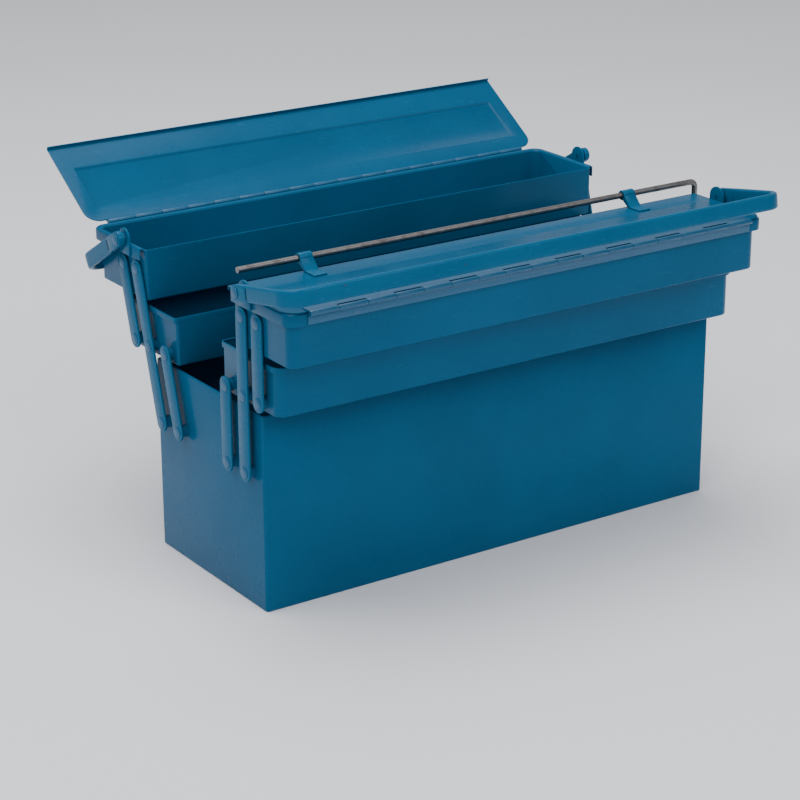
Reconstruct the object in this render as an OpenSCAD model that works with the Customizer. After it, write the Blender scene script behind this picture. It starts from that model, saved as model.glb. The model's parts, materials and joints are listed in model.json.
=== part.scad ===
// Cantilever toolbox: a deep bottom box, two middle trays and two lidded upper trays.
// Flat steel arms on both ends carry the trays, which stay level as they swing apart.
// Origin: centre of the underside. +X runs along the box, -Y is the front, +Z is up.

/* [Bottom box] */
// Length of the bottom box
box_l = 530; // [420:10:620]
// Width of the bottom box, front to back
box_w = 200; // [180:5:240]
// Height of the bottom box
box_h = 195; // [170:5:230]
// Thickness of the sheet steel
sheet = 1.2; // [0.8:0.1:1.6]
// Depth of the folded hem inside the box's mouth
hem_h = 9; // [6:1:14]

/* [Trays] */
// Height of the middle trays
middle_h = 48.5; // [44:0.5:56]
// Height of the upper trays, without their lids
upper_h = 52.5; // [48:0.5:60]
// Gap between the front and the back trays when the box is closed
centre_gap = 6; // [4:1:10]
// Vertical gap between stacked trays when the box is closed
level_gap = 0.8; // [0.5:0.1:1.5]
// How much longer the upper trays are than the box, at each end
upper_extra = 5; // [4:0.5:6]
// Height of the folded band round the mouth of an upper tray
band_h = 12; // [9:0.5:14]
// How far that band stands proud of the tray's wall
band_out = 5; // [4:0.5:6]
// Radius of the trays' outer upright corners
corner_r = 10; // [6:1:16]

/* [Arms] */
// Distance between neighbouring pivots on an arm
arm_pitch = 75.5; // [72:0.5:79]
// Width of the flat arms
arm_w = 18; // [14:1:19]
// Thickness of the flat arms
arm_t = 2; // [1.5:0.5:2]
// Height of the lower pivots above the base
pivot_z = 136; // [130:1:138]
// Sideways travel of each tray level, from closed to arms upright
level_shift = 30; // [26:1:32]
// Lean of the front arms at rest, outwards from upright
front_lean = 0; // [-20:1:20]
// Lean of the back arms at rest, outwards from upright
back_lean = 15.5; // [-20:0.5:20]

/* [Lids] */
// How far the front lid stands open at rest
front_lid_open = 0; // [0:1:94]
// How far the back lid stands open at rest
back_lid_open = 147; // [0:1:147]
// Height of the pressed panel in each lid
panel_rise = 2; // [1:0.5:3]

/* [Handles] */
// Rise of the front handle at rest, above level
front_handle_tilt = 10; // [-8:1:90]
// Rise of the back handle at rest, above level
back_handle_tilt = -30; // [-30:1:90]
// Depth of the handle's flat bar
handle_h = 16; // [12:1:18]
// Thickness of the handle's flat bar
handle_t = 6; // [5:0.5:6]
// Distance from the handle's pivot to the middle of its grip
handle_reach = 90; // [86:1:94]
// Radius of the handle's bends
handle_bend = 20; // [18:1:22]

/* [Locking rod] */
// Diameter of the locking rod
rod_d = 6; // [5:0.5:7]
// Height of the rod's middle above the lids
rod_up = 10.5; // [9:0.5:12]
// Distance of the lugs from the middle of the lid
lug_x = 190; // [150:5:210]

/* [Hidden] */

$fn = 48;
eps = 0.01;
paint = [0.07, 0.35, 0.52];
paint_arm = [0.10, 0.40, 0.58];
steel = [0.55, 0.57, 0.60];
dark_steel = [0.30, 0.30, 0.32];

// The linkage. A lean is measured outwards from upright, and closed is -closed_lean.
closed_lean = asin(level_shift / arm_pitch);
function shift(lean) = arm_pitch * (sin(closed_lean) + sin(lean));
function rise(lean) = arm_pitch * (cos(lean) - cos(closed_lean));

// Tray places with the box closed, on the front half. The outer side is -Y.
y_out = -box_w / 2;
y_in = -centre_gap / 2;
middle_x = box_l / 2 + 1;
upper_x = box_l / 2 + upper_extra;
middle_z = box_h + level_gap;
upper_z = middle_z + middle_h + level_gap;
upper_top = upper_z + upper_h;
middle_hem_out = 2;
middle_hem_h = 6;
inner_r = 3;
box_r = 3;
band_x = upper_x + band_out;
band_y = y_out - band_out;

// Pivots, as Y with the arms upright at each one's own level
long_y = -79;
lower_y = -47;
upper_link_y = -106;
middle_pivot_z = pivot_z + arm_pitch * cos(closed_lean);
upper_pivot_z = pivot_z + 2 * arm_pitch * cos(closed_lean);

// The arms lie in one plane, outside the bands' walls.
arm_x = upper_x + 1.2;
arm_out = arm_x + arm_t;
rivet_r = 3;
hole_r = rivet_r + 0.08;
spacer_r = 6;
head_r = 5.5;
tail_r = 4.5;

// Lid and hinge
lid_gap = 0.3;
lid_z = upper_top + lid_gap;
lid_top = lid_z + sheet;
lid_x = band_x - 0.6;
lid_y0 = band_y + 0.2;
lid_y1 = -1.5;
lip_h = 5;
leaf_t = 1;
knuckle_r = 2.6;
pin_r = 1.25;
hinge_y = band_y - 3;
hinge_z = lid_top + leaf_t - knuckle_r;
hinge_l = 510;
knuckles = 17;
knuckle_l = hinge_l / knuckles;
hinge_play = 0.4;

// Handle
ear_t = 2;
ear_r = 10;
handle_y = -33;
handle_z = lid_top + 3.5;
leg_x = band_x + 5 + handle_t / 2;
tab_x = leg_x - handle_t / 2;
tab_l = 20;
ear_low = upper_top - band_h + 1;

// Rod, in the closed front frame
rod_r = rod_d / 2;
rod_y = 5;
rod_z = lid_top + rod_up;
rod_left = -261;
rod_right = band_x + 4;
rod_drop = 20;
rod_bend = 6;
lug_w = 14;
lug_t = 1.5;
lug_r = 5;
lug_play = 0.4;
lug_step = 16;

// ---- Helpers ----

// The back half is the front half mirrored.
module back_half() { mirror([0, 1, 0]) children(); }

// Moves a closed-pose shape at tray level k to where the arms' lean puts it.
module at_level(k, lean) { translate([0, -k * shift(lean), k * rise(lean)]) children(); }

// Turns a closed lid about its hinge, or a level handle about its pivot.
module swung(y, z, angle) {
  translate([0, y, z]) rotate([angle, 0, 0]) translate([0, -y, -z]) children();
}

// Draws a shape at the right end and its mirror image at the left end.
module both_ends() {
  children();
  mirror([1, 0, 0]) children();
}

// A plan outline from outer side y0 to inner side y1, with corner radii r0 and r1
module outline(half_l, y0, y1, r0, r1) {
  translate([-half_l, y0 + r0]) square([2 * half_l, y1 - y0 - r0 - r1]);
  translate([r0 - half_l, y0]) square([2 * (half_l - r0), 2 * r0]);
  translate([r1 - half_l, y1 - 2 * r1]) square([2 * (half_l - r1), 2 * r1]);
  for (side = [-1, 1]) {
    translate([side * (half_l - r0), y0 + r0]) circle(r = r0);
    translate([side * (half_l - r1), y1 - r1]) circle(r = r1);
  }
}

// A disc or hole along X, from x0 to x1, centred at y and z
module rod_x(x0, x1, y, z, r) {
  translate([x0, y, z]) rotate([0, 90, 0]) cylinder(h = x1 - x0, r = r);
}

// A flat strip in the YZ plane with holes spaced one pitch apart, leaning outwards
module strip(y, z, spans, lean) {
  translate([arm_x, y, z]) rotate([lean, 0, 0]) rotate([90, 0, 90])
    linear_extrude(arm_t) difference() {
      union() {
        translate([-arm_w / 2, 0]) square([arm_w, spans * arm_pitch]);
        circle(d = arm_w);
        translate([0, spans * arm_pitch]) circle(d = arm_w);
      }
      for (i = [0:spans]) translate([0, i * arm_pitch]) circle(r = hole_r);
    }
}

// A pivot rivet through a wall at wall_x, with its head outside the arm
module pivot_rivet(wall_x, y, z) {
  rod_x(wall_x - sheet, arm_out, y, z, rivet_r);
  rod_x(wall_x - sheet - 1.5, wall_x - sheet, y, z, tail_r);
  rod_x(arm_out, arm_out + 0.9, y, z, head_r);
  translate([arm_out + 0.9, y, z]) rotate([0, 90, 0]) cylinder(h = 0.9, r1 = head_r, r2 = 3.4);
}

// A bush or washer between a wall and the arm
module spacer(wall_x, y, z) {
  difference() {
    rod_x(wall_x, arm_x, y, z, spacer_r);
    rod_x(wall_x - 1, arm_x + 1, y, z, rivet_r);
  }
}

// ---- Bottom box ----

module bottom_box() {
  half = box_l / 2;
  color(paint) difference() {
    linear_extrude(box_h) outline(half, -box_w / 2, box_w / 2, box_r, box_r);
    translate([0, 0, sheet]) linear_extrude(box_h - sheet - hem_h)
      outline(half - sheet, sheet - box_w / 2, box_w / 2 - sheet, box_r - sheet, box_r - sheet);
    translate([0, 0, box_h - hem_h - eps]) linear_extrude(hem_h + 1)
      outline(half - 2 * sheet, 2 * sheet - box_w / 2, box_w / 2 - 2 * sheet, box_r - 2 * sheet,
              box_r - 2 * sheet);
    for (y = [long_y, lower_y, -lower_y, -long_y])
      rod_x(-half - 1, half + 1, y, pivot_z, rivet_r);
  }
}

module box_rivets() {
  color(steel) both_ends() for (y = [long_y, lower_y, -lower_y, -long_y])
    pivot_rivet(box_l / 2, y, pivot_z);
}

module box_spacers() {
  color(steel) both_ends() for (y = [long_y, lower_y, -lower_y, -long_y])
    spacer(box_l / 2, y, pivot_z);
}

// ---- Middle trays: closed-pose Y of each pivot ----

middle_pivots = [long_y + level_shift, lower_y + level_shift, upper_link_y + level_shift];

module middle_tray() {
  color(paint) difference() {
    union() {
      translate([0, 0, middle_z]) linear_extrude(middle_h)
        outline(middle_x, y_out, y_in, corner_r, inner_r);
      translate([0, 0, middle_z + middle_h - middle_hem_h]) linear_extrude(middle_hem_h)
        outline(middle_x + middle_hem_out, y_out - middle_hem_out, y_in,
                corner_r + middle_hem_out, inner_r);
    }
    translate([0, 0, middle_z + sheet]) linear_extrude(middle_h)
      outline(middle_x - sheet, y_out + sheet, y_in - sheet, corner_r - sheet, inner_r - sheet);
    for (y = middle_pivots) rod_x(-middle_x - 1, middle_x + 1, y, middle_pivot_z, rivet_r);
  }
}

module middle_rivets() {
  color(steel) both_ends() for (y = middle_pivots) pivot_rivet(middle_x, y, middle_pivot_z);
}

module middle_spacers() {
  color(steel) both_ends() for (y = middle_pivots) spacer(middle_x, y, middle_pivot_z);
}

// ---- Upper trays ----

upper_pivots = [long_y + 2 * level_shift, upper_link_y + 2 * level_shift];

module upper_tray() {
  color(paint) difference() {
    union() {
      translate([0, 0, upper_z]) linear_extrude(upper_h)
        outline(upper_x, y_out, y_in, corner_r, inner_r);
      translate([0, 0, upper_top - band_h]) linear_extrude(band_h)
        outline(band_x, band_y, y_in, corner_r + band_out, inner_r);
    }
    translate([0, 0, upper_z + sheet]) linear_extrude(upper_h)
      outline(upper_x - sheet, y_out + sheet, y_in - sheet, corner_r - sheet, inner_r - sheet);
    translate([0, 0, upper_top - band_h - 1]) linear_extrude(band_h + 1 - sheet) difference() {
      outline(band_x - sheet, band_y + sheet, y_in - sheet, corner_r + band_out - sheet,
              inner_r - sheet);
      outline(upper_x, y_out, y_in, corner_r, inner_r);
    }
    for (y = upper_pivots) rod_x(-upper_x - 1, upper_x + 1, y, upper_pivot_z, rivet_r);
  }
}

module upper_rivets() {
  color(steel) both_ends() for (y = upper_pivots) pivot_rivet(upper_x, y, upper_pivot_z);
}

module upper_washers() {
  color(steel) both_ends() for (y = upper_pivots) spacer(upper_x, y, upper_pivot_z);
}

// ---- Lids and their hinges, lid closed ----

panel_in = 16;
panel_in_free = 30;

module lid() {
  color(paint) difference() {
    union() {
      translate([0, 0, lid_z]) linear_extrude(sheet)
        outline(lid_x, lid_y0, lid_y1, corner_r + band_out, inner_r);
      translate([0, 0, lid_z]) linear_extrude(sheet + panel_rise)
        outline(lid_x - panel_in, lid_y0 + panel_in, lid_y1 - panel_in_free, corner_r, corner_r);
      translate([-lid_x + 2 * inner_r, lid_y1 - sheet, lid_z - lip_h])
        cube([2 * lid_x - 4 * inner_r, sheet, lip_h + sheet]);
    }
    translate([0, 0, lid_z - eps]) linear_extrude(panel_rise + eps)
      outline(lid_x - panel_in - sheet, lid_y0 + panel_in + sheet,
              lid_y1 - panel_in_free - sheet, corner_r - sheet, corner_r - sheet);
  }
}

// The start of knuckle i. The lid holds the even ones, the tray the odd ones.
function knuckle_x(i) = i * knuckle_l - hinge_l / 2 + hinge_play / 2;

module hinge_tray_leaf() {
  plate_top = hinge_z - knuckle_r - 0.3;
  color(steel) difference() {
    union() {
      translate([-hinge_l / 2, band_y - leaf_t, ear_low]) cube([hinge_l, leaf_t, plate_top - ear_low]);
      for (i = [1:2:knuckles - 2]) {
        translate([knuckle_x(i), hinge_y, hinge_z - knuckle_r - 0.6])
          cube([knuckle_l - hinge_play, band_y - hinge_y, 1.8]);
        rod_x(knuckle_x(i), knuckle_x(i + 1) - hinge_play, hinge_y, hinge_z, knuckle_r);
      }
    }
    rod_x(-hinge_l, hinge_l, hinge_y, hinge_z, pin_r);
  }
}

module hinge_lid_leaf() {
  color(steel) difference() {
    union() {
      translate([-hinge_l / 2, hinge_y + knuckle_r + 1, lid_top]) cube([hinge_l, 8, leaf_t]);
      for (i = [0:2:knuckles - 1]) {
        translate([knuckle_x(i), hinge_y, lid_top]) cube([knuckle_l - hinge_play, 8, leaf_t]);
        rod_x(knuckle_x(i), knuckle_x(i + 1) - hinge_play, hinge_y, hinge_z, knuckle_r);
      }
    }
    rod_x(-hinge_l, hinge_l, hinge_y, hinge_z, pin_r + 0.06);
  }
}

module hinge_pin() {
  color(steel) rod_x(-hinge_l / 2, hinge_l / 2, hinge_y, hinge_z, pin_r);
}

// ---- Handles, level, pointing outwards from the pivot ----

// The handle's section: a flat bar with rounded edges, upright
module bar_section() {
  flat = handle_h - handle_t;
  square([handle_t, flat], center = true);
  for (side = [-1, 1]) translate([0, side * flat / 2]) circle(d = handle_t);
}

module handle() {
  bend_y = handle_y - handle_reach + handle_bend;
  color(paint_arm) translate([0, 0, handle_z]) {
    translate([handle_bend - leg_x, handle_y - handle_reach, 0]) rotate([90, 0, 90])
      linear_extrude(2 * (leg_x - handle_bend)) bar_section();
    both_ends() {
      translate([leg_x - handle_bend, bend_y, 0]) rotate([0, 0, -90])
        rotate_extrude(angle = 90) translate([handle_bend, 0]) bar_section();
      translate([leg_x, handle_y - tab_l + 1, 0]) rotate([90, 0, 0])
        linear_extrude(handle_y - tab_l + 1 - bend_y) bar_section();
      translate([tab_x, handle_y, 0]) rotate([90, 0, 90]) linear_extrude(handle_t) difference() {
        union() {
          circle(d = handle_h);
          translate([-tab_l, -handle_h / 2 + 1]) square([tab_l, handle_h - 2]);
        }
        circle(r = hole_r);
      }
    }
  }
}

module handle_ears() {
  color(paint_arm) both_ends() translate([band_x, handle_y, 0]) rotate([90, 0, 90])
    linear_extrude(ear_t) difference() {
      union() {
        translate([0, handle_z]) circle(r = ear_r);
        translate([-ear_r, ear_low]) square([2 * ear_r, handle_z - ear_low]);
      }
      translate([0, handle_z]) circle(r = rivet_r);
    }
}

module handle_rivets() {
  tab_out = tab_x + handle_t;
  color(steel) both_ends() {
    rod_x(band_x, tab_out, handle_y, handle_z, rivet_r);
    rod_x(band_x + ear_t, tab_x - 0.3, handle_y, handle_z, head_r);
    rod_x(tab_out, tab_out + 0.9, handle_y, handle_z, head_r);
    translate([tab_out + 0.9, handle_y, handle_z]) rotate([0, 90, 0])
      cylinder(h = 0.9, r1 = head_r, r2 = 3.4);
  }
}

// ---- Locking rod and its lugs, lids closed ----

// One lug: a foot on the lid, a stem and an eye round the rod at eye_y
module lug(x, eye_y, stem) {
  translate([x - lug_w / 2, 0, lid_top]) rotate([90, 0, 90]) linear_extrude(lug_w)
    difference() {
      union() {
        translate([-24, 0]) square([18, lug_t]);
        polygon(stem);
        translate([eye_y, rod_up]) circle(r = lug_r);
      }
      translate([eye_y, rod_up]) circle(r = rod_r + lug_play);
    }
}

module front_lugs() {
  stem = [[-9, lug_t - eps], [-6, 0], [3, 6], [1, 12]];
  color(paint_arm) for (side = [-1, 1]) lug(side * lug_x, rod_y, stem);
}

module back_lugs() {
  stem = [[-13, lug_t - eps], [-9.5, 0], [-7, 6], [-8.5, 13]];
  color(paint_arm) for (side = [-1, 1]) lug(side * (lug_x - lug_step), -rod_y, stem);
}

module rod() {
  color(dark_steel) translate([0, rod_y, rod_z]) {
    rotate([0, 90, 0]) translate([0, 0, rod_left])
      cylinder(h = rod_right - rod_bend - rod_left, r = rod_r);
    translate([rod_right - rod_bend, 0, -rod_bend]) rotate([90, 0, 0])
      rotate_extrude(angle = 90) translate([rod_bend, 0]) circle(r = rod_r);
    translate([rod_right, 0, -rod_drop]) cylinder(h = rod_drop - rod_bend, r = rod_r);
  }
}

// ---- Placing one half ----

// Arms are drawn at their own lean, about their lower pivots.
module long_arm_at(lean) { color(paint_arm) strip(long_y, pivot_z, 2, lean); }
module lower_link_at(lean) { color(paint_arm) strip(lower_y, pivot_z, 1, lean); }
module upper_link_at(lean) {
  color(paint_arm) at_level(1, lean)
    strip(upper_link_y + level_shift, middle_pivot_z, 1, lean);
}
module left() { mirror([1, 0, 0]) children(); }
module lid_at(lean, open) { at_level(2, lean) swung(hinge_y, hinge_z, open) children(); }
module handle_at(lean, tilt) { at_level(2, lean) swung(handle_y, handle_z, -tilt) children(); }

bottom_box();
box_rivets();
box_spacers();

at_level(1, front_lean) middle_tray();  // front_middle_tray
at_level(1, front_lean) middle_rivets();  // front_middle_rivets
at_level(1, front_lean) middle_spacers();  // front_middle_spacers
at_level(2, front_lean) upper_tray();  // front_upper_tray
at_level(2, front_lean) upper_rivets();  // front_upper_rivets
at_level(2, front_lean) upper_washers();  // front_upper_washers
lid_at(front_lean, front_lid_open) lid();  // front_lid
at_level(2, front_lean) hinge_tray_leaf();  // front_hinge_tray_leaf
lid_at(front_lean, front_lid_open) hinge_lid_leaf();  // front_hinge_lid_leaf
at_level(2, front_lean) hinge_pin();  // front_hinge_pin
handle_at(front_lean, front_handle_tilt) handle();  // front_handle
at_level(2, front_lean) handle_ears();  // front_handle_ears
at_level(2, front_lean) handle_rivets();  // front_handle_rivets
left() long_arm_at(front_lean);  // front_long_arm_left
long_arm_at(front_lean);  // front_long_arm_right
left() lower_link_at(front_lean);  // front_lower_link_left
lower_link_at(front_lean);  // front_lower_link_right
left() upper_link_at(front_lean);  // front_upper_link_left
upper_link_at(front_lean);  // front_upper_link_right
lid_at(front_lean, front_lid_open) front_lugs();  // front_rod_lugs
lid_at(front_lean, front_lid_open) rod();  // locking_rod

back_half() at_level(1, back_lean) middle_tray();  // back_middle_tray
back_half() at_level(1, back_lean) middle_rivets();  // back_middle_rivets
back_half() at_level(1, back_lean) middle_spacers();  // back_middle_spacers
back_half() at_level(2, back_lean) upper_tray();  // back_upper_tray
back_half() at_level(2, back_lean) upper_rivets();  // back_upper_rivets
back_half() at_level(2, back_lean) upper_washers();  // back_upper_washers
back_half() lid_at(back_lean, back_lid_open) lid();  // back_lid
back_half() at_level(2, back_lean) hinge_tray_leaf();  // back_hinge_tray_leaf
back_half() lid_at(back_lean, back_lid_open) hinge_lid_leaf();  // back_hinge_lid_leaf
back_half() at_level(2, back_lean) hinge_pin();  // back_hinge_pin
back_half() handle_at(back_lean, back_handle_tilt) handle();  // back_handle
back_half() at_level(2, back_lean) handle_ears();  // back_handle_ears
back_half() at_level(2, back_lean) handle_rivets();  // back_handle_rivets
back_half() left() long_arm_at(back_lean);  // back_long_arm_left
back_half() long_arm_at(back_lean);  // back_long_arm_right
back_half() left() lower_link_at(back_lean);  // back_lower_link_left
back_half() lower_link_at(back_lean);  // back_lower_link_right
back_half() left() upper_link_at(back_lean);  // back_upper_link_left
back_half() upper_link_at(back_lean);  // back_upper_link_right
back_half() lid_at(back_lean, back_lid_open) back_lugs();  // back_rod_lugs
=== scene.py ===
import json
import math

import bmesh
import bpy
from mathutils import Matrix, Vector

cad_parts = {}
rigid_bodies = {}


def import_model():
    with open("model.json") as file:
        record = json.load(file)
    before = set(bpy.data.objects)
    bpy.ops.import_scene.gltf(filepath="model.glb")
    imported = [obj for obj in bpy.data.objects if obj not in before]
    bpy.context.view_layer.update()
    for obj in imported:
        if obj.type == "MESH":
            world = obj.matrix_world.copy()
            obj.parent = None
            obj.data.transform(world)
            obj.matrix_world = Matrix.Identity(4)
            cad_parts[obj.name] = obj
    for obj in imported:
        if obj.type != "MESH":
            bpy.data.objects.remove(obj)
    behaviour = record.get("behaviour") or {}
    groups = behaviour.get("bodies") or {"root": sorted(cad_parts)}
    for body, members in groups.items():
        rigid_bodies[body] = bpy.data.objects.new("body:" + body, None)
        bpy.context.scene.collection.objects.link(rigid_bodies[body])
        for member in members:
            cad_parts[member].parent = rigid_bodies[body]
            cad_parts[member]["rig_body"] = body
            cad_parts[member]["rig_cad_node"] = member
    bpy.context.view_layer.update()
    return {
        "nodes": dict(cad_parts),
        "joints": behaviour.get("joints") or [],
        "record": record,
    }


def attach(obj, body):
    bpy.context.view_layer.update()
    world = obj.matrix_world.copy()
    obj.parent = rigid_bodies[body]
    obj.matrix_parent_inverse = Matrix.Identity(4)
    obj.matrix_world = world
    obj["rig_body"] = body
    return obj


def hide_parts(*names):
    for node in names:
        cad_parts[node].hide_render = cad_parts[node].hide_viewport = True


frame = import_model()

MM = 0.001
joints = {j["name"]: j for j in frame["joints"]}

# ---- Camera and light ----

CAMERA_PLACE = (-1.29258, -1.84808, 0.95663)
CAMERA_YAW, CAMERA_PITCH, CAMERA_ROLL = 33.97, 20.22, -0.24
LENS_MM, SENSOR_MM = 107.6, 36


def aim_camera():
    yaw, pitch, roll = (math.radians(a) for a in (CAMERA_YAW, CAMERA_PITCH, CAMERA_ROLL))
    ahead = Vector((math.sin(yaw) * math.cos(pitch), math.cos(yaw) * math.cos(pitch), -math.sin(pitch)))
    right = Vector((math.cos(yaw), -math.sin(yaw), 0))
    up = right.cross(ahead)
    across = right * math.cos(roll) + up * math.sin(roll)
    upward = up * math.cos(roll) - right * math.sin(roll)
    turn = Matrix((across, upward, -ahead)).transposed().to_4x4()
    data = bpy.data.cameras.new("camera")
    data.lens = LENS_MM
    data.sensor_width = SENSOR_MM
    data.clip_end = 100
    camera = bpy.data.objects.new("camera", data)
    bpy.context.scene.collection.objects.link(camera)
    camera.matrix_world = Matrix.Translation(CAMERA_PLACE) @ turn
    bpy.context.scene.camera = camera


def soft_light(name, place, target, size, power):
    """A rectangular lamp of a size in metres and a power in watts, facing a target."""
    data = bpy.data.lights.new(name, "AREA")
    data.shape = "RECTANGLE"
    data.size, data.size_y = size
    data.energy = power
    lamp = bpy.data.objects.new(name, data)
    bpy.context.scene.collection.objects.link(lamp)
    lamp.location = place
    lamp.rotation_euler = (Vector(target) - Vector(place)).to_track_quat("-Z", "Y").to_euler()


aim_camera()
soft_light("overhead", (-0.3, 0.5, 2.6), (0, 0, 0.2), (2.6, 1.8), 62)
soft_light("left_window", (-2.3, -1.5, 2.3), (0, 0, 0.15), (1.6, 1.6), 29)
soft_light("front_fill", (0.6, -2.6, 2.2), (0, 0, 0.15), (2.4, 1.4), 30)
world = bpy.data.worlds.new("studio")
world.use_nodes = True
background = world.node_tree.nodes["Background"]
background.inputs["Color"].default_value = (0.86, 0.88, 0.92, 1)
background.inputs["Strength"].default_value = 0.6
bpy.context.scene.world = world

# ---- Shader maths ----


class Field:
    """A node socket that takes part in Python arithmetic."""

    def __init__(self, tree, socket):
        self.tree = tree
        self.socket = socket

    def node(self, kind, settings=None, inputs=None, out=0):
        """Any other node, its inputs fed by fields or by plain values."""
        new = self.tree.nodes.new(kind)
        for key, value in (settings or {}).items():
            setattr(new, key, value)
        for key, value in (inputs or {}).items():
            if isinstance(value, Field):
                self.tree.links.new(value.socket, new.inputs[key])
            else:
                new.inputs[key].default_value = value
        return Field(self.tree, new.outputs[out])

    def _math(self, how, a, b):
        return self.node("ShaderNodeMath", {"operation": how}, {0: a, 1: b})

    def __add__(self, other):
        return self._math("ADD", self, other)

    def __radd__(self, other):
        return self._math("ADD", other, self)

    def __sub__(self, other):
        return self._math("SUBTRACT", self, other)

    def __rsub__(self, other):
        return self._math("SUBTRACT", other, self)

    def __mul__(self, other):
        return self._math("MULTIPLY", self, other)

    def __rmul__(self, other):
        return self._math("MULTIPLY", other, self)

    def noise(self, scale, detail=3.0, rough=0.55):
        inputs = {"Vector": self, "Scale": scale, "Detail": detail, "Roughness": rough}
        return self.node("ShaderNodeTexNoise", {}, inputs)

    def stretched(self, x, y, z):
        return self.node("ShaderNodeMapping", {}, {"Vector": self, "Scale": (x, y, z)})

    def between(self, low, high):
        """0 at low and below, 1 at high and above."""
        inputs = {"Value": self, "From Min": low, "From Max": high}
        return self.node("ShaderNodeMapRange", {"clamp": True}, inputs)

    def blend(self, first, second):
        """The first colour where this field is 0, the second where it is 1."""
        return self.node("ShaderNodeMix", {"data_type": "RGBA"}, {0: self, 6: first, 7: second}, out=2)


def finish_called(name):
    """A new material, its tree, its shader and a field of the object's own coordinates."""
    material = bpy.data.materials.new(name)
    material.use_nodes = True
    tree = material.node_tree
    shader = tree.nodes["Principled BSDF"]
    coords = tree.nodes.new("ShaderNodeTexCoord")
    return material, tree, shader, Field(tree, coords.outputs["Object"])


def wire(tree, shader, **sockets):
    """Feeds the shader's inputs from fields."""
    for name, field in sockets.items():
        tree.links.new(field.socket, shader.inputs[name.replace("_", " ")])


def enamel(name, light, dark, wear):
    """Stoved enamel: orange peel, faint drifts of tone, dust, fine rubs and a few chips."""
    material, tree, shader, place = finish_called(name)
    drift = place.noise(7, 2).between(0.3, 0.7)
    body = drift.blend(dark, light)
    rubs = place.stretched(1.0, 1.0, 7.0).noise(60, 6, 0.7).between(0.60, 0.78)
    dust = place.noise(23, 5, 0.65).between(0.45, 0.8)
    dusted = (dust * 0.05).blend(body, (0.03, 0.17, 0.27, 1))
    rubbed = (rubs * (0.28 * wear)).blend(dusted, (0.05, 0.26, 0.38, 1))
    chips = place.noise(150, 4, 0.6).between(0.735 - 0.02 * wear, 0.755 - 0.02 * wear)
    colour = (chips * 0.8).blend(rubbed, (0.055, 0.06, 0.065, 1))
    peel = place.noise(520, 2)
    press = place.noise(14, 2)
    height = peel * 0.35 + press * 0.6 - chips * 0.5 - rubs * 0.2
    bump = height.node("ShaderNodeBump", {}, {"Height": height, "Strength": 0.18, "Distance": 0.0007})
    rough = 0.27 + dust * 0.12 + rubs * 0.14 + chips * 0.25
    wire(tree, shader, Base_Color=colour, Roughness=rough, Normal=bump)
    shader.inputs["Specular IOR Level"].default_value = 0.10
    shader.inputs["Coat Weight"].default_value = 0.05
    shader.inputs["Coat Roughness"].default_value = 0.12
    return material


def worn_fixing(name, paint, metal):
    """Painted over at the works, rubbed back to metal where it moves."""
    material, tree, shader, place = finish_called(name)
    bare = place.noise(190, 5, 0.7).between(0.62, 0.74)
    stain = place.noise(420, 3).between(0.35, 0.75)
    steel = stain.blend(metal, tuple(v * 0.45 for v in metal[:3]) + (1,))
    colour = bare.blend(paint, steel)
    height = place.noise(600, 3) - bare * 0.6
    bump = height.node("ShaderNodeBump", {}, {"Height": height, "Strength": 0.25, "Distance": 0.0004})
    wire(tree, shader, Base_Color=colour, Roughness=0.30 + stain * 0.22, Metallic=bare * 0.9, Normal=bump)
    return material


def drawn_wire(name, colour):
    """Drawn steel rod, dulled, with fine lines along it."""
    material, tree, shader, place = finish_called(name)
    lines = place.stretched(6, 900, 900).noise(1.0, 4, 0.6)
    tarnish = place.noise(90, 4, 0.65).between(0.45, 0.75)
    tone = tarnish.blend(colour, (0.10, 0.09, 0.085, 1))
    height = lines * 0.7 + tarnish * 0.3
    bump = height.node("ShaderNodeBump", {}, {"Height": height, "Strength": 0.3, "Distance": 0.0003})
    rough = 0.30 + lines * 0.15 + tarnish * 0.15
    wire(tree, shader, Base_Color=tone, Roughness=rough, Normal=bump)
    shader.inputs["Metallic"].default_value = 1.0
    return material


def pale_floor():
    material, tree, shader, place = finish_called("pale_floor")
    patches = place.noise(0.8, 2).between(0.3, 0.7)
    tone = patches.blend((0.83, 0.835, 0.865, 1), (0.85, 0.855, 0.885, 1))
    wire(tree, shader, Base_Color=tone)
    shader.inputs["Roughness"].default_value = 0.85
    shader.inputs["Specular IOR Level"].default_value = 0.1
    return material


BODY_PAINT = enamel("body_enamel", (0.0003, 0.088, 0.190, 1), (0.0003, 0.073, 0.160, 1), 1.0)
ARM_PAINT = enamel("arm_enamel", (0.0006, 0.102, 0.210, 1), (0.0006, 0.084, 0.178, 1), 2.0)
FIXING = worn_fixing("worn_fixing", (0.001, 0.085, 0.185, 1), (0.20, 0.26, 0.30, 1))
ROD_STEEL = drawn_wire("rod_steel", (0.22, 0.21, 0.21, 1))
FINISH_OF_SLOT = {"paint": BODY_PAINT, "arms": ARM_PAINT, "fixings": FIXING, "rod": ROD_STEEL}

for part in frame["record"]["subparts"]:
    node = frame["nodes"][part["node"]]
    node.data.materials.clear()
    node.data.materials.append(FINISH_OF_SLOT[part["material_slot"]])

bpy.ops.object.select_all(action="DESELECT")
bpy.ops.mesh.primitive_plane_add(size=40, location=(0, 0, 0))
floor = bpy.context.object
floor.name = "floor"
floor.data.materials.append(pale_floor())

# ---- Modelling by hand ----


def clear_hands():
    """Back to object mode, with nothing selected."""
    if bpy.context.object and bpy.context.object.mode != "OBJECT":
        bpy.ops.object.mode_set(mode="OBJECT")
    bpy.ops.object.select_all(action="DESELECT")


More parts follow.
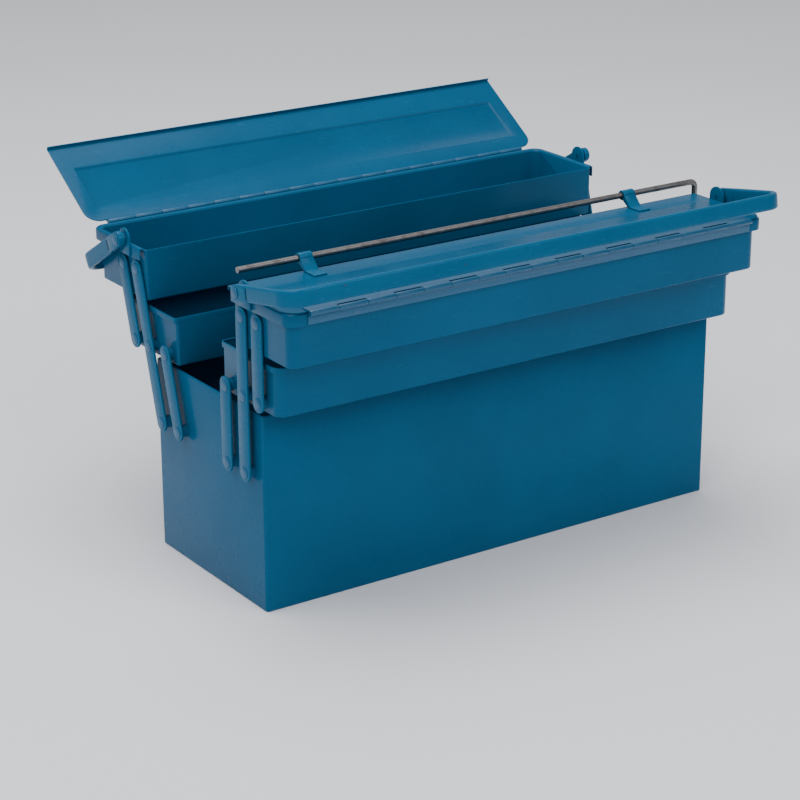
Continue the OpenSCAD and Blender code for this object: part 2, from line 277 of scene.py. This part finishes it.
def block(name, low, high):
    """A cube between two corners given in millimetres, opened in edit mode."""
    clear_hands()
    low, high = Vector(low) * MM, Vector(high) * MM
    bpy.ops.mesh.primitive_cube_add(size=1, location=(low + high) / 2)
    piece = bpy.context.object
    piece.name = piece.data.name = name
    piece.scale = high - low
    bpy.ops.object.transform_apply(location=True, rotation=True, scale=True)
    bpy.ops.object.mode_set(mode="EDIT")
    return piece


def select(piece, kind, test):
    """Selects the corners, edges or faces that pass a test on their middle, in millimetres."""
    bpy.ops.mesh.select_mode(type=kind)
    mesh = bmesh.from_edit_mesh(piece.data)
    mesh.normal_update()
    for group in (mesh.verts, mesh.edges, mesh.faces):
        for item in group:
            item.select_set(False)
    if kind == "FACE":
        for face in mesh.faces:
            if test(face.calc_center_median() / MM, face.normal):
                face.select_set(True)
    elif kind == "VERT":
        for vert in mesh.verts:
            if test(vert.co / MM):
                vert.select_set(True)
    else:
        for edge in mesh.edges:
            a, b = (v.co / MM for v in edge.verts)
            if test((a + b) / 2, (b - a).normalized(), edge):
                edge.select_set(True)
    bmesh.update_edit_mesh(piece.data)


def near(a, b):
    return abs(a - b) < 0.02


def round_edges(piece, test, radius, steps):
    select(piece, "EDGE", test)
    bpy.ops.mesh.bevel(offset=radius * MM, segments=steps, affect="EDGES")


def pull(x, y, z):
    """Extrudes the selection by a move in millimetres."""
    bpy.ops.mesh.extrude_region_move(TRANSFORM_OT_translate={"value": (x * MM, y * MM, z * MM)})


def spread(x, y, z, centre=(0, 0, 0)):
    """Scales the selection from a centre in millimetres."""
    bpy.ops.transform.resize(value=(x, y, z), center_override=tuple(c * MM for c in centre))


def with_modifier(piece, kind, **settings):
    modifier = piece.modifiers.new(kind.lower(), kind)
    for key, value in settings.items():
        setattr(modifier, key, value)
    bpy.ops.object.modifier_apply(modifier=modifier.name)


def smooth(piece, edge=0.35, wall=None, angle=35):
    """Leaves edit mode, gives a sheet its thickness, eases the edges and shades it."""
    bpy.ops.object.mode_set(mode="OBJECT")
    if wall:
        with_modifier(piece, "SOLIDIFY", thickness=wall * MM, offset=-1, use_even_offset=True)
    if edge:
        with_modifier(piece, "BEVEL", width=edge * MM, segments=2, limit_method="ANGLE",
                      angle_limit=math.radians(angle), harden_normals=False)
    bpy.ops.object.shade_smooth_by_angle(angle=math.radians(40))


def outward_all():
    """Closes a swept or turned shape and faces it outward."""
    bpy.ops.mesh.select_all(action="SELECT")
    bpy.ops.mesh.remove_doubles(threshold=0.00002)
    bpy.ops.mesh.normals_make_consistent(inside=False)


def put(piece, matrix):
    """Moves a piece into place and leaves it unturned, with its origin at zero."""
    clear_hands()
    piece.select_set(True)
    bpy.context.view_layer.objects.active = piece
    piece.matrix_world = matrix
    bpy.ops.object.transform_apply(location=True, rotation=True, scale=True)


def copy_of(piece, name):
    twin = piece.copy()
    twin.data = piece.data.copy()
    twin.name = twin.data.name = name
    bpy.context.scene.collection.objects.link(twin)
    return twin


def joined(pieces, name):
    clear_hands()
    for piece in pieces:
        piece.select_set(True)
    bpy.context.view_layer.objects.active = pieces[0]
    bpy.ops.object.join()
    pieces[0].name = pieces[0].data.name = name
    return pieces[0]


def fit(piece, body, node, slot):
    """Gives a piece its finish and its body, and shows it for a frame node."""
    piece.data.materials.clear()
    piece.data.materials.append(FINISH_OF_SLOT[slot])
    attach(piece, body)
    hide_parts(node)


# ---- Where each half's pieces go: all are modelled closed, on the front ----

# Lengths are in millimetres. A level stands PITCH above the one below along its arms,
# and closing the box moves each level TRAY_SHIFT further inward than the one below.
PITCH, TRAY_SHIFT = 75.5, 30
CLOSED = math.asin(TRAY_SHIFT / PITCH)
LONG_Y, LOWER_Y, UPPER_LINK_Y, PIVOT_Z = -79, -47, -106, 136
MIDDLE_PIVOT_Z = PIVOT_Z + PITCH * math.cos(CLOSED)
UPPER_PIVOT_Z = PIVOT_Z + 2 * PITCH * math.cos(CLOSED)
HINGE_Y, HINGE_Z, HANDLE_Y, HANDLE_Z = -108, 297.5, -33, 302.6
# SHEET is the frame's sheet; the modelled walls are drawn a little thinner.
SHEET, WALL, LID_WALL = 1.2, 1.15, 1.05
BOX_HALF, BOX_DEPTH, BOX_TOP = 265, 100, 193.6
TRAY_FRONT_Y, TRAY_INNER_Y = -100, -3
MIDDLE_HALF, MIDDLE_FLOOR_Z, MIDDLE_TOP_Z = 266, 195.8, 244.3
UPPER_HALF, UPPER_FLOOR_Z, UPPER_TOP_Z = 270, 245.1, 297.6
ARM_INNER_X, ARM_THICK, ARM_HALF_WIDTH = 271.2, 2, 9
HALF_TURN = {"front": Matrix.Identity(4), "back": Matrix.Rotation(math.pi, 4, "Z")}
REST = {
    "front": {"lean": 0.0, "lid": 0, "handle": 10},
    "back": {"lean": 15.5, "lid": 147, "handle": -30},
}


def carried(side, level):
    """The move of a tray level from closed to rest, read from that half's pivots."""
    if level == 0:
        return Matrix.Identity(4)
    pivot = joints[side + ("_middle_level" if level == 1 else "_upper_level")]["pos_m"]
    y = -abs(pivot[1]) / MM
    z = pivot[2] / MM
    y0 = LONG_Y + TRAY_SHIFT * level
    z0 = MIDDLE_PIVOT_Z if level == 1 else UPPER_PIVOT_Z
    return Matrix.Translation((0, (y - y0) * MM, (z - z0) * MM))


def turned(y, z, degrees):
    """A turn about a lengthwise pin through a point in millimetres."""
    about = Vector((0, y * MM, z * MM))
    turn = Matrix.Rotation(math.radians(degrees), 4, "X")
    return Matrix.Translation(about) @ turn @ Matrix.Translation(-about)


# ---- Bottom box ----


def upright(middle, way, edge):
    return abs(way.z) > 0.99


def sheet_tub(name, half, y0, y1, z0, z1, outer_r, inner_r, fold):
    """An open tub of sheet: rounded upright corners and a folded bottom edge."""
    tub = block(name, (-half, y0, z0), (half, y1, z1))
    centre = (y0 + y1) / 2
    round_edges(tub, lambda m, w, e: upright(m, w, e) and m.y < centre, outer_r, 9)
    round_edges(tub, lambda m, w, e: upright(m, w, e) and near(m.y, y1), inner_r, 5)
    select(tub, "FACE", lambda m, n: n.z > 0.9)
    bpy.ops.mesh.delete(type="ONLY_FACE")
    round_edges(tub, lambda m, w, e: near(m.z, z0) and abs(w.z) < 0.01, fold, 3)
    return tub


def mouth(piece):
    select(piece, "EDGE", lambda m, w, e: e.is_boundary)


def roll_rim(half, depth, steps, centre=(0, 0, 0)):
    """Draws the selected rim on in steps, each a rise and a move outward."""
    for rise, outward in steps:
        pull(0, 0, rise)
        if outward:
            spread((half + outward) / half, (depth + outward) / depth, 1, centre)
            half += outward
            depth += outward


def make_bottom_box():
    """The shell, its mouth hemmed inward."""
    box = sheet_tub("bottom_shell", BOX_HALF, -BOX_DEPTH, BOX_DEPTH, 0, BOX_TOP, 3, 3, 1.4)
    mouth(box)
    roll_rim(BOX_HALF, BOX_DEPTH, ((1.4, -0.7), (0, -1.3), (-1.2, -0.7), (-7.8, 0)))
    smooth(box, 0.3, WALL)
    fit(box, "box", "bottom_box", "paint")


# ---- Trays ----

TRAY_DEPTH = TRAY_INNER_Y - TRAY_FRONT_Y
INNER_WALL = (0, TRAY_INNER_Y, 0)


def make_tray(name, half, z0, z1):
    tray = sheet_tub(name, half, TRAY_FRONT_Y, TRAY_INNER_Y, z0, z1, 10, 3, 2)
    mouth(tray)
    return tray


def make_middle_tray():
    """A tray with a band standing out round its mouth, but not along its inner wall."""
    tray = make_tray("middle_tray", MIDDLE_HALF, MIDDLE_FLOOR_Z, MIDDLE_TOP_Z - 6.5)
    roll_rim(MIDDLE_HALF, TRAY_DEPTH, ((0.8, 2), (4.9, 0), (0.8, -0.6)), INNER_WALL)
    smooth(tray, 0.3, WALL)
    return tray


def make_upper_tray():
    """A tray with its rim rolled out and down, stopping short of its inner corners."""
    wall_top = UPPER_TOP_Z - 2.6
    tray = make_tray("upper_tray", UPPER_HALF, UPPER_FLOOR_Z, wall_top)
    roll_rim(UPPER_HALF, TRAY_DEPTH, ((1.0, 0.7), (0.4, 2.4), (-0.8, 0.7), (-9.8, 0)), INNER_WALL)

    def past_corner(m, n):
        return m.y > TRAY_INNER_Y - 3.05 and m.z > wall_top - 10 and not near(m.z, wall_top + 0.5)

    select(tray, "FACE", past_corner)
    bpy.ops.mesh.delete(type="FACE")
    smooth(tray, 0.3, WALL)
    return tray


# ---- Lids ----


def make_lid():
    """A flat lid with round outer corners, a raised panel and a return along its free edge."""
    half, y0, y1, z = 274.4, -104.8, -0.6, 299.1
    panel_half, panel_share, panel_y = 258.4, 0.678, -74.9
    lid = block("lid", (-half, y0, z - 1), (half, y1, z))
    select(lid, "FACE", lambda m, n: n.z < 0.9)
    bpy.ops.mesh.delete(type="FACE")
    select(lid, "VERT", lambda m: near(m.y, y0))
    bpy.ops.mesh.bevel(offset=15 * MM, segments=10, affect="VERTICES")
    select(lid, "FACE", lambda m, n: n.z > 0.5)
    for width in (1.6, 7.8):
        bpy.ops.mesh.inset(thickness=width * MM)
    spread(panel_half / (half - 1.6 - 7.8), panel_share, 1, (0, panel_y, z))
    for amount, up in ((0.7, 0.35), (1.1, 1.3), (0.7, 0.35)):
        bpy.ops.mesh.inset(thickness=amount * MM)
        bpy.ops.transform.translate(value=(0, 0, up * MM))
    select(lid, "EDGE", lambda m, w, e: e.is_boundary)
    bpy.ops.transform.translate(value=(0, 0, -0.1 * MM))
    select(lid, "EDGE", lambda m, w, e: e.is_boundary and near(m.y, y1))
    pull(0, 0, -4.2)
    smooth(lid, 0.25, LID_WALL)
    return lid


# ---- Handles, ears, arms and links ----


def swept_bar(name, section, start, run):
    """A bar drawn from a section at start, by straight pulls and quarter turns."""
    clear_hands()
    wide, tall, radius = section
    bpy.ops.mesh.primitive_plane_add(size=1, location=Vector(start) * MM, rotation=(math.pi / 2, 0, 0))
    bar = bpy.context.object
    bar.name = bar.data.name = name
    bar.scale = (wide * MM, tall * MM, 1)
    bpy.ops.object.transform_apply(location=True, rotation=True, scale=True)
    bpy.ops.object.mode_set(mode="EDIT")
    bpy.ops.mesh.select_all(action="SELECT")
    bpy.ops.mesh.bevel(offset=radius * MM, segments=4, affect="VERTICES")
    bpy.ops.mesh.select_mode(type="FACE")
    bpy.ops.mesh.select_all(action="SELECT")
    for how, *values in run:
        if how == "pull":
            pull(*values)
        else:
            centre, degrees = values
            bpy.ops.mesh.spin(steps=12, angle=math.radians(-degrees), axis=(0, 0, 1),
                              center=tuple(c * MM for c in centre), use_auto_merge=False)
    return bar


def make_handle():
    """The bar with its two bends, and a flat round-ended tab at each pivot."""
    leg_x, bend, reach = 283, 20, 90
    turn_y = HANDLE_Y - reach + bend
    start = (-leg_x, HANDLE_Y - 19, HANDLE_Z)
    run = [("pull", 0, turn_y - start[1], 0),
           ("spin", (-leg_x + bend, turn_y, HANDLE_Z), 90),
           ("pull", 2 * (leg_x - bend), 0, 0),
           ("spin", (leg_x - bend, turn_y, HANDLE_Z), 90),
           ("pull", 0, start[1] - turn_y, 0)]
    bar = swept_bar("handle", (6, 16, 2.6), start, run)
    outward_all()
    smooth(bar, None)
    ends = []
    for side in (-1, 1):
        x0, x1 = sorted((side * (leg_x - 3), side * (leg_x + 3)))
        low, high = (x0, HANDLE_Y - 21, HANDLE_Z - 7.5), (x1, HANDLE_Y + 7.9, HANDLE_Z + 7.5)
        tab = block("handle_tab", low, high)
        round_edges(tab, lambda m, w, e: abs(w.x) > 0.99 and m.y > HANDLE_Y, 7.4, 8)
        smooth(tab, 0.5)
        ends.append(tab)
    return joined([bar] + ends, "handle")


def make_ears():
    """The two upright ears that carry the handle, outside the upper tray's rim."""
    ears = []
    inner, thick, half_width = 275, 2, 10
    low = UPPER_TOP_Z - 12 + 1
    for side in (-1, 1):
        x0, x1 = sorted((side * inner, side * (inner + thick)))
        y0, y1 = HANDLE_Y - half_width, HANDLE_Y + half_width
        ear = block("ear", (x0, y0, low), (x1, y1, HANDLE_Z + half_width))
        round_edges(ear, lambda m, w, e: abs(w.x) > 0.99 and m.z > HANDLE_Z, 9.9, 10)
        smooth(ear, 0.4)
        ears.append(ear)
    return joined(ears, "handle_ears")


def make_strap(name, side, y, z, spans, lean):
    """A flat arm with round ends, standing on its lower pivot."""
    x0, x1 = sorted((side * ARM_INNER_X, side * (ARM_INNER_X + ARM_THICK)))
    low = (x0, y - ARM_HALF_WIDTH, z - ARM_HALF_WIDTH)
    high = (x1, y + ARM_HALF_WIDTH, z + spans * PITCH + ARM_HALF_WIDTH)
    strap = block(name, low, high)
    round_edges(strap, lambda m, w, e: abs(w.x) > 0.99, 8.95, 8)
    smooth(strap, 0.45)
    put(strap, turned(y, z, lean))
    return strap


# ---- Rivets ----


def make_rivet(name, side, wall_x, y, z):
    """Tail, shank and domed head, turned along X from a disc."""
    tail_r, tail, shank_r, head_r = 4.5, 1.5, 3, 5.5
    clear_hands()
    bpy.ops.mesh.primitive_cylinder_add(vertices=28, radius=tail_r * MM, depth=tail * MM,
                                        location=(0, 0, tail / 2 * MM))
    rivet = bpy.context.object
    rivet.name = rivet.data.name = name
    bpy.ops.object.transform_apply(location=True, rotation=True, scale=True)
    bpy.ops.object.mode_set(mode="EDIT")
    length = ARM_INNER_X + ARM_THICK - (wall_x - SHEET)
    select(rivet, "FACE", lambda m, n: n.z > 0.9)
    bpy.ops.mesh.inset(thickness=(tail_r - shank_r) * MM)
    pull(0, 0, length)
    radius = shank_r
    for up, new_radius in ((0, head_r), (0.45, 5.45), (0.5, 4.8), (0.45, 3.4), (0.25, 1.6)):
        pull(0, 0, up)
        spread(new_radius / radius, new_radius / radius, 1)
        radius = new_radius
    outward_all()
    smooth(rivet, None)
    stand = Matrix.Translation((side * (wall_x - SHEET - tail) * MM, y * MM, z * MM))
    put(rivet, stand @ Matrix.Rotation(math.radians(90 * side), 4, "Y"))
    return rivet


def rivets_at(name, wall_x, places):
    """Both ends' rivets at the given (y, z) places, as one piece."""
    heads = [make_rivet("rivet", side, wall_x, y, z) for side in (-1, 1) for y, z in places]
    return joined(heads, name)


# ---- Small fittings ----


def ease_fitting(node, body, slot, edge):
    """A fitting from its frame shape, with its sharp edges rounded over."""
    clear_hands()
    piece = copy_of(frame["nodes"][node], node + "_eased")
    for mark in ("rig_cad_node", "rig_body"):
        del piece[mark]
    piece.parent = None
    piece.matrix_world = Matrix.Identity(4)
    piece.select_set(True)
    bpy.context.view_layer.objects.active = piece
    bpy.ops.object.mode_set(mode="EDIT")
    bpy.ops.mesh.select_all(action="SELECT")
    bpy.ops.mesh.remove_doubles(threshold=0.000001)
    bpy.ops.mesh.dissolve_limited(angle_limit=math.radians(1))
    smooth(piece, edge)
    fit(piece, body, node, slot)


# ---- Making and placing everything ----

make_bottom_box()
box_places = [(y, PIVOT_Z) for y in (LONG_Y, LOWER_Y, -LOWER_Y, -LONG_Y)]
box_heads = rivets_at("box_pivot_rivets", BOX_HALF, box_places)
fit(box_heads, "box", "box_rivets", "fixings")

middle = make_middle_tray()
upper = make_upper_tray()
lid = make_lid()
handle = make_handle()
ears = make_ears()
middle_places = [(y + TRAY_SHIFT, MIDDLE_PIVOT_Z) for y in (LONG_Y, LOWER_Y, UPPER_LINK_Y)]
upper_places = [(y + 2 * TRAY_SHIFT, UPPER_PIVOT_Z) for y in (LONG_Y, UPPER_LINK_Y)]
middle_heads = rivets_at("middle_rivets", MIDDLE_HALF, middle_places)
upper_heads = rivets_at("upper_rivets", UPPER_HALF, upper_places)

for side in ("front", "back"):
    half = HALF_TURN[side]
    rest = REST[side]
    first, second = carried(side, 1), carried(side, 2)
    for piece, where, body, node, slot in (
        (middle, first, "middle", "middle_tray", "paint"),
        (middle_heads, first, "middle", "middle_rivets", "fixings"),
        (upper, second, "upper", "upper_tray", "paint"),
        (upper_heads, second, "upper", "upper_rivets", "fixings"),
        (ears, second, "upper", "handle_ears", "arms"),
        (lid, second @ turned(HINGE_Y, HINGE_Z, rest["lid"]), "lid_body", "lid", "paint"),
        (handle, second @ turned(HANDLE_Y, HANDLE_Z, -rest["handle"]), "grip", "handle", "arms"),
    ):
        made = copy_of(piece, side + "_" + piece.name + "_shaped")
        put(made, half @ where)
        fit(made, side + "_" + body, side + "_" + node, slot)
    for hand, sign in (("left", -1), ("right", 1)):
        sign = sign if side == "front" else -sign
        for kind, body, y, z, spans, level in (
            ("long_arm", "long_arms", LONG_Y, PIVOT_Z, 2, 0),
            ("lower_link", "lower_links", LOWER_Y, PIVOT_Z, 1, 0),
            ("upper_link", "upper_links", UPPER_LINK_Y + TRAY_SHIFT, MIDDLE_PIVOT_Z, 1, 1),
        ):
            strap = make_strap(f"{side}_{kind}_{hand}_strap", sign, y, z, spans, rest["lean"])
            put(strap, half @ carried(side, level))
            fit(strap, f"{side}_{body}", f"{side}_{kind}_{hand}", "arms")

for pattern in (middle, middle_heads, upper, upper_heads, lid, handle, ears):
    bpy.data.objects.remove(pattern)

for side in ("front", "back"):
    for node, body, slot, edge in (
        ("_rod_lugs", "_lid_body", "arms", 0.35),
        ("_handle_rivets", "_upper", "fixings", 0.4),
        ("_hinge_tray_leaf", "_upper", "fixings", 0.2),
        ("_hinge_lid_leaf", "_lid_body", "fixings", 0.2),
    ):
        ease_fitting(side + node, side + body, slot, edge)
